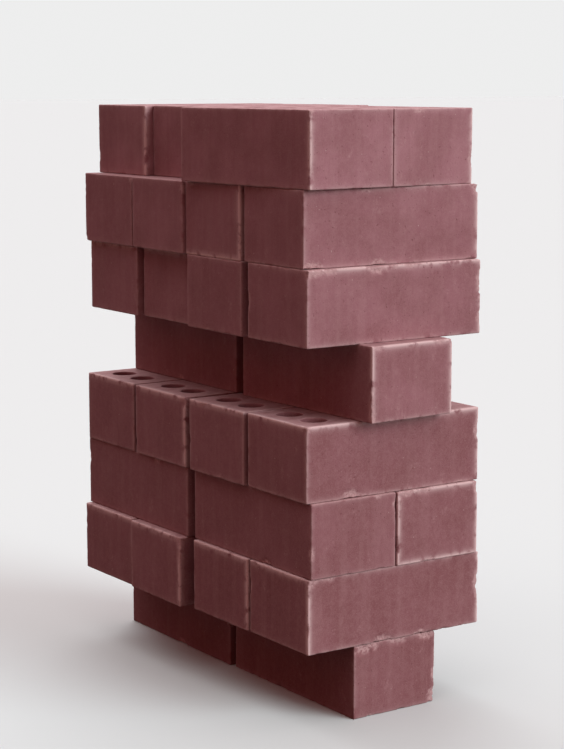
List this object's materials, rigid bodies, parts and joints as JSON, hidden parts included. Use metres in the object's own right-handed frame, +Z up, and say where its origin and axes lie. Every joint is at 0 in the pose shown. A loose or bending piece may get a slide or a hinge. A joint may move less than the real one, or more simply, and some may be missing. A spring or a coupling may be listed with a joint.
{
  "type": "stack of bricks",
  "caption": "Free-standing stack of loose pressed bricks laid dry, its columns narrowed at the foot and at mid height, with blind round holes in the bed faces.",
  "frame": {"origin": "on the ground under the middle of the stack's bounding box", "axes": "+X along the front face to the right, +Y into the depth from the near column to the far column, +Z up"},
  "size_m": [0.2902, 0.5314, 0.704],
  "materials": {
    "brick": "matt, dusty, slightly sandy"
  },
  "bodies": {
    "root": {"far_column_course_1_single_brick": "brick", "far_column_course_2_back_brick": "brick", "far_column_course_2_front_brick": "brick", "far_column_course_3_left_brick": "brick", "far_column_course_3_right_brick": "brick", "far_column_course_4_back_brick": "brick", "far_column_course_4_front_brick": "brick", "far_column_course_5_single_brick": "brick", "far_column_course_6_back_brick": "brick", "far_column_course_6_front_brick": "brick", "far_column_course_7_back_brick": "brick", "far_column_course_7_front_brick": "brick", "far_column_course_8_back_brick": "brick", "far_column_course_8_front_brick": "brick", "near_column_course_1_single_brick": "brick", "near_column_course_2_back_brick": "brick", "near_column_course_2_front_brick": "brick", "near_column_course_3_left_brick": "brick", "near_column_course_3_right_brick": "brick", "near_column_course_4_back_brick": "brick", "near_column_course_4_front_brick": "brick", "near_column_course_5_single_brick": "brick", "near_column_course_6_back_brick": "brick", "near_column_course_6_front_brick": "brick", "near_column_course_7_back_brick": "brick", "near_column_course_7_front_brick": "brick", "near_column_course_8_left_brick": "brick", "near_column_course_8_right_brick": "brick"}
  },
  "joints": []
}
